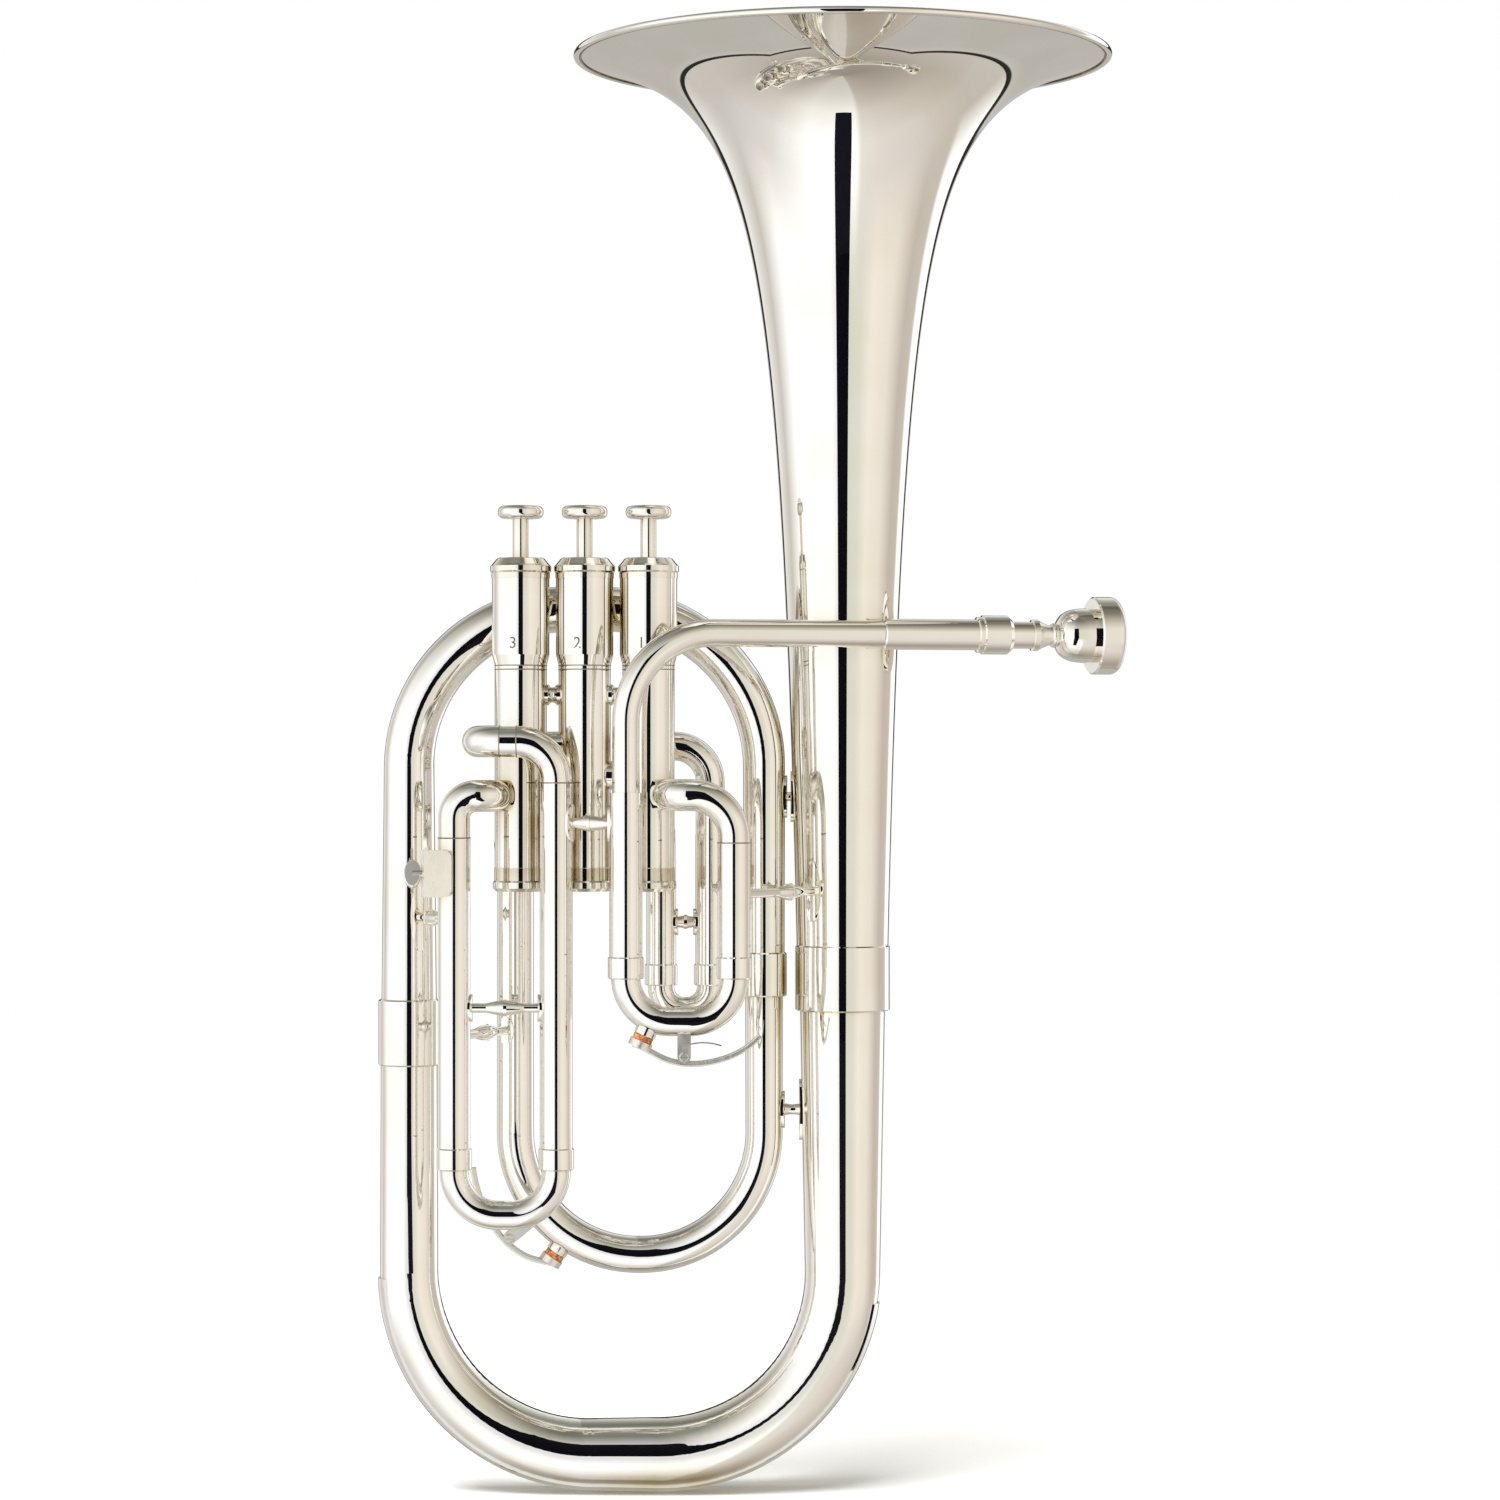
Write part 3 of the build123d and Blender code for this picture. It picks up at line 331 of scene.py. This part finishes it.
def finishes():
    """One material for each of the record's material slots, and the special finishes."""
    casing_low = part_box("valve_casing_1")[0]
    return {
        "silver_plate": polished_metal("silver_plate", (0.965, 0.95, 0.915), (0.94, 0.915, 0.85),
                                       (0.62, 0.52, 0.28), (0.012, 0.035)),
        "cap_silver": polished_metal("cap_silver", (0.93, 0.905, 0.84), (0.88, 0.84, 0.745),
                                     (0.62, 0.54, 0.36), (0.03, 0.1)),
        "mouthpiece_silver": polished_metal("mouthpiece_silver", (0.955, 0.935, 0.885),
                                            (0.93, 0.9, 0.835), (0.7, 0.62, 0.44), (0.012, 0.04)),
        "piston_nickel": brushed_metal("piston_nickel", (0.72, 0.71, 0.68), (0.55, 0.54, 0.51),
                                       (0.18, 0.34)),
        "spring_steel": brushed_metal("spring_steel", (0.66, 0.66, 0.65), (0.42, 0.42, 0.41),
                                      (0.16, 0.3)),
        "guide_brass": brushed_metal("guide_brass", (0.78, 0.62, 0.32), (0.62, 0.46, 0.2), (0.2, 0.36)),
        "satin_silver": polished_metal("satin_silver", (0.9, 0.88, 0.84), (0.87, 0.845, 0.79),
                                       (0.6, 0.54, 0.4), (0.14, 0.2)),
        # Painted reflection: the lyre holder's cream colour and lower metallic stand in for the cream
        # it reflects.
        "silver_painted_cream": polished_metal("silver_painted_cream", (0.8, 0.765, 0.7), (0.74, 0.7, 0.63),
                                       (0.5, 0.45, 0.34), (0.16, 0.26), 0.55),
        "key_silver": polished_metal("key_silver", (0.95, 0.93, 0.88), (0.9, 0.87, 0.8),
                                     (0.7, 0.62, 0.42), (0.3, 0.36)),
        "casing_silver": polished_metal("casing_silver", (0.965, 0.95, 0.915), (0.94, 0.915, 0.85),
                                        (0.5, 0.4, 0.22), (0.012, 0.035),
                                        band_top=casing_low.z + FOOT_BAND),
        "seam_silver": polished_metal("seam_silver", (0.42, 0.38, 0.29), (0.3, 0.26, 0.19),
                                      (0.16, 0.13, 0.09), (0.2, 0.35)),
        "felt": felt_material(),
        "cork": cork_material(),
    }


def engraving_material():
    """Cut strokes, dark with the polish left in them."""
    material, tree, shader = new_material("engraving")
    shader.inputs["Metallic"].default_value = 0.6
    grit = noise(tree, 3000.0, 3.0)
    colour = ramp(tree, grit, "Fac", [(0.3, (0.05, 0.045, 0.035)), (0.7, (0.28, 0.26, 0.21))])
    link(tree, colour, "Color", shader, "Base Color")
    rough = to_range(tree, grit, "Fac", 0.35, 0.6)
    link(tree, rough, "Result", shader, "Roughness")
    bump(tree, shader, grit, "Fac", 0.00004)
    return material


def dress_the_frame(materials):
    """Gives every CAD node the finished material of its record slot."""
    for part in frame["record"]["subparts"]:
        node = frame["nodes"][part["node"]]
        for place in node.material_slots:
            place.material = materials[part["material_slot"]]
    for finish, names in SPECIAL_FINISHES.items():
        for name in names:
            for place in frame["nodes"][name].material_slots:
                place.material = materials[finish]


# ---- pieces -------------------------------------------------------------------------------------
def finished_piece(name, mesh, material, body):
    """Puts a mesh in the scene, smooth where it is round, riding on a body."""
    mesh.shade_smooth()
    mesh.set_sharp_from_angle(angle=math.radians(SHARP_ANGLE))
    mesh.materials.append(material)
    piece = bpy.data.objects.new(name, mesh)
    scene.collection.objects.link(piece)
    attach(piece, body)
    return piece


def turned_mesh(name, outline, sides):
    """A closed outline of (radius, height) points turned about an upright axis through the origin."""
    vertices = []
    for step in range(sides):
        angle = 2 * math.pi * step / sides
        for radius, height in outline:
            vertices.append((radius * math.cos(angle), radius * math.sin(angle), height))
    count = len(outline)
    faces = []
    for step in range(sides):
        here = step * count
        there = (step + 1) % sides * count
        for point in range(count):
            after = (point + 1) % count
            faces.append((here + point, there + point, there + after, here + after))
    mesh = bpy.data.meshes.new(name)
    mesh.from_pydata(vertices, [], faces)
    return mesh


def flare_radius(height):
    """The bell's outside radius at a height, both in millimetres."""
    return FLARE_BASE + FLARE_GAIN / (FLARE_VERTEX - height) ** FLARE_POWER


def fine_bell(material):
    """The spun bell wall, turned finely enough for clean reflections. Its rings crowd at the rim."""
    low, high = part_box("bell")
    rim_low, rim_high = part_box("bell_rim_wire")
    foot = low.z * 1000
    top = (rim_low.z + rim_high.z) / 2 * 1000 - RIM_TUCK
    outer = []
    inner = []
    for ring in range(BELL_RINGS + 1):
        height = top - (top - foot) * (ring / BELL_RINGS) ** 2
        slope = FLARE_POWER * FLARE_GAIN / (FLARE_VERTEX - height) ** (FLARE_POWER + 1)
        length = math.hypot(1, slope)
        outer.append((flare_radius(height) / 1000, height / 1000))
        inner_height = min(height + BELL_WALL * slope / length, top)
        inner.append(((flare_radius(height) - BELL_WALL / length) / 1000, inner_height / 1000))
    mesh = turned_mesh("fine_bell", outer[::-1] + inner, BELL_SIDES)
    piece = finished_piece("fine_bell", mesh, material, "horn")
    piece.location = ((low.x + high.x) / 2, (low.y + high.y) / 2, 0)
    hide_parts("bell")


def seam(centre, way, radius):
    """A fine solder bead round a tube; returns its vertices and faces."""
    across = Vector(way).orthogonal().normalized()
    up = Vector(way).cross(across)
    vertices = []
    faces = []
    for step in range(SEAM_SIDES):
        angle = 2 * math.pi * step / SEAM_SIDES
        outward = across * math.cos(angle) + up * math.sin(angle)
        here = step * BEAD_SIDES
        there = (step + 1) % SEAM_SIDES * BEAD_SIDES
        for turn in range(BEAD_SIDES):
            tilt = 2 * math.pi * turn / BEAD_SIDES
            reach = radius - SEAM_WIRE * SEAM_SUNK + SEAM_WIRE * math.cos(tilt)
            vertices.append(Vector(centre) + outward * reach + Vector(way) * SEAM_WIRE * math.sin(tilt))
            after = (turn + 1) % BEAD_SIDES
            faces.append((here + turn, there + turn, there + after, here + after))
    return vertices, faces


def upright_legs(node):
    """The centres of the tops of a bow's two upright legs, left then right."""
    low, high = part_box(node)
    half = (high.y - low.y) / 2
    middle_y = (low.y + high.y) / 2
    return Vector((low.x + half, middle_y, high.z)), Vector((high.x - half, middle_y, high.z))


def solder_seams(material):
    """The fine lines where pieces meet: at the elbows, round each casing and inside the bell's rim."""
    rings = []
    third_left, third_right = upright_legs("slide_3_bow")
    main_right = upright_legs("main_slide_bow")[1]
    elbow_feet = ((third_left, THIRD_LEFT_SEAM), (third_right, THIRD_RIGHT_SEAM),
                  (main_right, MAIN_RIGHT_SEAM))
    for leg, height in elbow_feet:
        rings.append(((leg.x, leg.y, height), (0, 0, 1), LEG_RADIUS))
    for x in ELBOW_SEAMS:
        rings.append(((x, third_right.y, ELBOW_SEAM_HEIGHT), (1, 0, 0), ELBOW_RADIUS))
    for number in (1, 2, 3):
        low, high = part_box("valve_casing_" + str(number))
        middle = (low + high) / 2
        for height in (CONE_FOOT, CONE_FOOT - CONE_LINE_STEP):
            rings.append(((middle.x, middle.y, height), (0, 0, 1), CASING_RADIUS))
    bell_low, bell_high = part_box("bell")
    rings.append((((bell_low.x + bell_high.x) / 2, 0, RIM_SEAM_HEIGHT), (0, 0, 1), RIM_SEAM_RADIUS))
    vertices = []
    faces = []
    for ring in rings:
        more, links = seam(*ring)
        faces += [[len(vertices) + index for index in face] for face in links]
        vertices += more
    mesh = bpy.data.meshes.new("solder_seams")
    mesh.from_pydata(vertices, [], faces)
    finished_piece("solder_seams", mesh, material, "horn")


def valve_number(number, material):
    """The valve's number, on the front of its spring chamber and wrapped round it."""
    name = "valve_number_" + str(number)
    text = bpy.data.curves.new(name + "_line", "FONT")
    text.body = str(number)
    text.align_x = "CENTER"
    text.size = NUMBER_HEIGHT / DIGIT_SHARE
    text.extrude = NUMBER_DEPTH
    text.resolution_u = 6
    holder = bpy.data.objects.new(name + "_line", text)
    scene.collection.objects.link(holder)
    bpy.context.view_layer.update()
    mesh = bpy.data.meshes.new_from_object(holder)
    bpy.data.objects.remove(holder)
    bpy.data.curves.remove(text)
    low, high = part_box("valve_casing_" + str(number))
    middle = (low + high) / 2
    for vertex in mesh.vertices:
        angle = (vertex.co.x - NUMBER_SIDE) / SPRING_CHAMBER_RADIUS
        reach = SPRING_CHAMBER_RADIUS + vertex.co.z
        vertex.co = Vector((middle.x + reach * math.sin(angle), middle.y - reach * math.cos(angle),
                            NUMBER_FOOT + vertex.co.y))
    mesh.name = name
    finished_piece(name, mesh, material, "horn")


def coiled_spring(number, material):
    """The wire spring inside a valve's barrel.

    It stands on the fixed guide and keeps one length; the real spring is squashed as the valve goes
    down.
    """
    node = "valve_spring_" + str(number)
    low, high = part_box(node)
    coil_radius = (high.x - low.x) / 2 - SPRING_WIRE
    foot = low.z + SPRING_WIRE + SPRING_CLEARANCE
    rise = high.z - low.z - 2 * (SPRING_WIRE + SPRING_CLEARANCE)
    steps = SPRING_TURNS * SPRING_STEPS
    vertices = []
    faces = []
    for step in range(steps + 1):
        angle = 2 * math.pi * step / SPRING_STEPS
        outward = Vector((math.cos(angle), math.sin(angle), 0))
        centre = outward * coil_radius + Vector((0, 0, foot + rise * step / steps))
        for turn in range(WIRE_SIDES):
            tilt = 2 * math.pi * turn / WIRE_SIDES
            around = outward * math.cos(tilt) + Vector((0, 0, math.sin(tilt)))
            vertices.append(centre + around * SPRING_WIRE)
    for step in range(steps):
        here = step * WIRE_SIDES
        there = here + WIRE_SIDES
        for turn in range(WIRE_SIDES):
            after = (turn + 1) % WIRE_SIDES
            faces.append((here + turn, there + turn, there + after, here + after))
    faces.append(tuple(range(WIRE_SIDES)))
    faces.append(tuple(range(steps * WIRE_SIDES, (steps + 1) * WIRE_SIDES))[::-1])
    mesh = bpy.data.meshes.new(node + "_wire")
    mesh.from_pydata(vertices, [], faces)
    piece = finished_piece(node + "_wire", mesh, material, "horn")
    middle = (low + high) / 2
    piece.location = (middle.x, middle.y, 0)
    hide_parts(node)
    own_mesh(piece)


# ---- the studio ---------------------------------------------------------------------------------
def multiplied(tree, first, second):
    """The product of two colours."""
    node = tree.nodes.new("ShaderNodeVectorMath")
    node.operation = "MULTIPLY"
    tree.links.new(first, node.inputs[0])
    tree.links.new(second, node.inputs[1])
    return node.outputs["Vector"]


def stops_at(panels):
    """Turns (degrees from the camera's side, colour) into ramp stops."""
    return [((degrees + 180) / 360, colour) for degrees, colour in panels]


def studio_world():
    """Soft panels all round: white on the left, cream on the right, a warm grey sheet hung behind."""
    world = bpy.data.worlds.new("studio")
    scene.world = world
    world.use_nodes = True
    tree = world.node_tree
    background = tree.nodes["Background"]
    place = tree.nodes.new("ShaderNodeTexCoord")
    axes = tree.nodes.new("ShaderNodeSeparateXYZ")
    link(tree, place, "Generated", axes, "Vector")
    x, y, z = (axes.outputs[name] for name in "XYZ")
    turn = combine(tree, "ARCTAN2", x, combine(tree, "MULTIPLY", y, -1.0))
    share = combine(tree, "ADD", combine(tree, "DIVIDE", turn, 2 * math.pi), 0.5)
    level = ramp(tree, share.node, "Value", stops_at(LEVEL_PANELS)).outputs["Color"]
    low = ramp(tree, share.node, "Value", stops_at(LOW_PANELS)).outputs["Color"]
    depth = combine(tree, "MULTIPLY", z, -1.0)
    down = to_range(tree, depth.node, "Value", 0.0, 1.0, LOW_FROM, LOW_TO).outputs["Result"]
    front = blend_colours(tree, down, level, low)
    above = to_range(tree, z.node, "Z", 0.0, 1.0, CEILING_FROM, CEILING_TO)
    below = to_range(tree, depth.node, "Value", 0.0, 1.0, UNDER_FROM, UNDER_TO)
    over = ramp(tree, above, "Result", CEILING).outputs["Color"]
    under = ramp(tree, below, "Result", UNDERNEATH).outputs["Color"]
    front = multiplied(tree, multiplied(tree, front, over), under)

    # How far a direction points inside the grey sheet behind the horn; its edge shows as a dark line.
    foot = combine(tree, "ADD", y, combine(tree, "MULTIPLY", z, SHEET_FOOT))
    foot = combine(tree, "MULTIPLY", foot, SHEET_FOOT_SHARPNESS)
    half_width = combine(tree, "MULTIPLY", y, SHEET_HALF_WIDTH)
    side = combine(tree, "SUBTRACT", half_width, combine(tree, "ABSOLUTE", x))
    downward = combine(tree, "MAXIMUM", depth, 0.0)
    thin = combine(tree, "ADD", combine(tree, "MULTIPLY", downward, SHEET_LOW_SHARPNESS), 1.0)
    side = combine(tree, "MULTIPLY", side, thin)
    headroom = combine(tree, "SUBTRACT", combine(tree, "MULTIPLY", y, SHEET_TOP), z)
    headroom = combine(tree, "MULTIPLY", headroom, SHEET_TOP_SHARPNESS)
    inside = combine(tree, "MINIMUM", combine(tree, "MINIMUM", foot, side), headroom)
    sheet = ramp(tree, inside.node, "Value", SHEET_EDGE)
    edge = to_range(tree, inside.node, "Value", 0.0, 1.0, -SHEET_BLUR, 0.0).outputs["Result"]
    colour = blend_colours(tree, edge, front, sheet.outputs["Color"])
    tree.links.new(colour, background.inputs["Color"])

    backdrop = tree.nodes.new("ShaderNodeBackground")
    backdrop.inputs["Color"].default_value = (1.0, 1.0, 1.0, 1.0)
    path = tree.nodes.new("ShaderNodeLightPath")
    mix = tree.nodes.new("ShaderNodeMixShader")
    link(tree, path, "Is Camera Ray", mix, "Fac")
    tree.links.new(background.outputs["Background"], mix.inputs[1])
    tree.links.new(backdrop.outputs["Background"], mix.inputs[2])
    link(tree, mix, "Shader", tree.nodes["World Output"], "Surface")


def flat_piece(name, corners, material):
    """A flat stage piece through its corners."""
    mesh = bpy.data.meshes.new(name)
    mesh.from_pydata(corners, [], [list(range(len(corners)))])
    piece = bpy.data.objects.new(name, mesh)
    piece.data.materials.append(material)
    scene.collection.objects.link(piece)
    return piece


def floor():
    """Pale paper that fades into the white surround."""
    material, tree, shader = new_material("floor_paper")
    shader.inputs["Roughness"].default_value = FLOOR_ROUGHNESS
    fibre = noise(tree, 500.0, 4.0)
    colour = ramp(tree, fibre, "Fac", [(0.3, (0.9, 0.9, 0.895)), (0.7, (0.92, 0.92, 0.915))])
    link(tree, colour, "Color", shader, "Base Color")
    place = tree.nodes.new("ShaderNodeTexCoord")
    distance = tree.nodes.new("ShaderNodeVectorMath")
    distance.operation = "LENGTH"
    link(tree, place, "Object", distance, 0)
    fade = to_range(tree, distance, "Value", 0.0, 1.0, FLOOR_FADE_START, FLOOR_RADIUS)
    clear = tree.nodes.new("ShaderNodeBsdfTransparent")
    mix = tree.nodes.new("ShaderNodeMixShader")
    link(tree, fade, "Result", mix, "Fac")
    tree.links.new(shader.outputs["BSDF"], mix.inputs[1])
    tree.links.new(clear.outputs["BSDF"], mix.inputs[2])
    link(tree, mix, "Shader", tree.nodes["Material Output"], "Surface")
    level = cad_low.z - FLOOR_GAP
    half = FLOOR_RADIUS
    corners = [(-half, -half, level), (half, -half, level), (half, half, level), (-half, half, level)]
    piece = flat_piece("floor", corners, material)
    piece.visible_glossy = False


def dark_flags():
    """Black cloth, seen only in reflections: the camera's gap, and its strip on the floor."""
    material, _, shader = new_material("black_cloth")
    shader.inputs["Base Color"].default_value = (0.004, 0.004, 0.006, 1.0)
    shader.inputs["Roughness"].default_value = 1.0
    shader.inputs["Specular IOR Level"].default_value = 0.0
    far = EYE_DISTANCE + GAP_BEHIND_EYE
    slope = math.tan(math.radians(GAP_HALF_ANGLE))
    half = far * slope
    upright = [(-half, -far, GAP_FOOT), (half, -far, GAP_FOOT),
               (half, -far, GAP_TOP), (-half, -far, GAP_TOP)]
    bell_low, bell_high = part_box("bell")
    bell_x = (bell_low.x + bell_high.x) / 2
    near = GAP_STRIP_START
    near_half = near * slope
    strip = [(bell_x - near_half, -near, 0.0), (bell_x + near_half, -near, 0.0),
             (half, -far, 0.0), (-half, -far, 0.0)]
    for name, corners in (("camera_gap", upright), ("floor_gap", strip)):
        piece = flat_piece(name, corners, material)
        piece.visible_camera = False
        piece.visible_diffuse = False
        piece.visible_shadow = False
        piece.visible_transmission = False


def soft_light(name, spot, target, size, power):
    """A round lamp aimed at the target, never seen itself."""
    light = bpy.data.lights.new(name, "AREA")
    light.shape = "DISK"
    light.size = size
    light.energy = power
    lamp = bpy.data.objects.new(name, light)
    lamp.location = spot
    lamp.rotation_euler = (Vector(target) - Vector(spot)).to_track_quat("-Z", "Y").to_euler()
    lamp.visible_glossy = False
    lamp.visible_camera = False
    scene.collection.objects.link(lamp)


def camera():
    """The photo's view: from in front, level, through a long lens."""
    data = bpy.data.cameras.new("camera")
    data.lens = LENS
    data.shift_y = FRAMING_SHIFT
    eye = bpy.data.objects.new("camera", data)
    eye.location = (EYE_SIDE, -EYE_DISTANCE, EYE_HEIGHT)
    eye.rotation_euler = (math.radians(90), 0, 0)
    scene.collection.objects.link(eye)
    scene.camera = eye


scene.view_settings.view_transform = "Standard"
materials = finishes()
dress_the_frame(materials)
fine_bell(materials["silver_plate"])
solder_seams(materials["seam_silver"])
engraved = engraving_material()
for number in (1, 2, 3):
    valve_number(number, engraved)
    coiled_spring(number, materials["spring_steel"])
studio_world()
floor()
dark_flags()
middle = (cad_low + cad_high) / 2
soft_light("overhead", LAMP_PLACE, middle, LAMP_SIZE, LAMP_POWER)
camera()
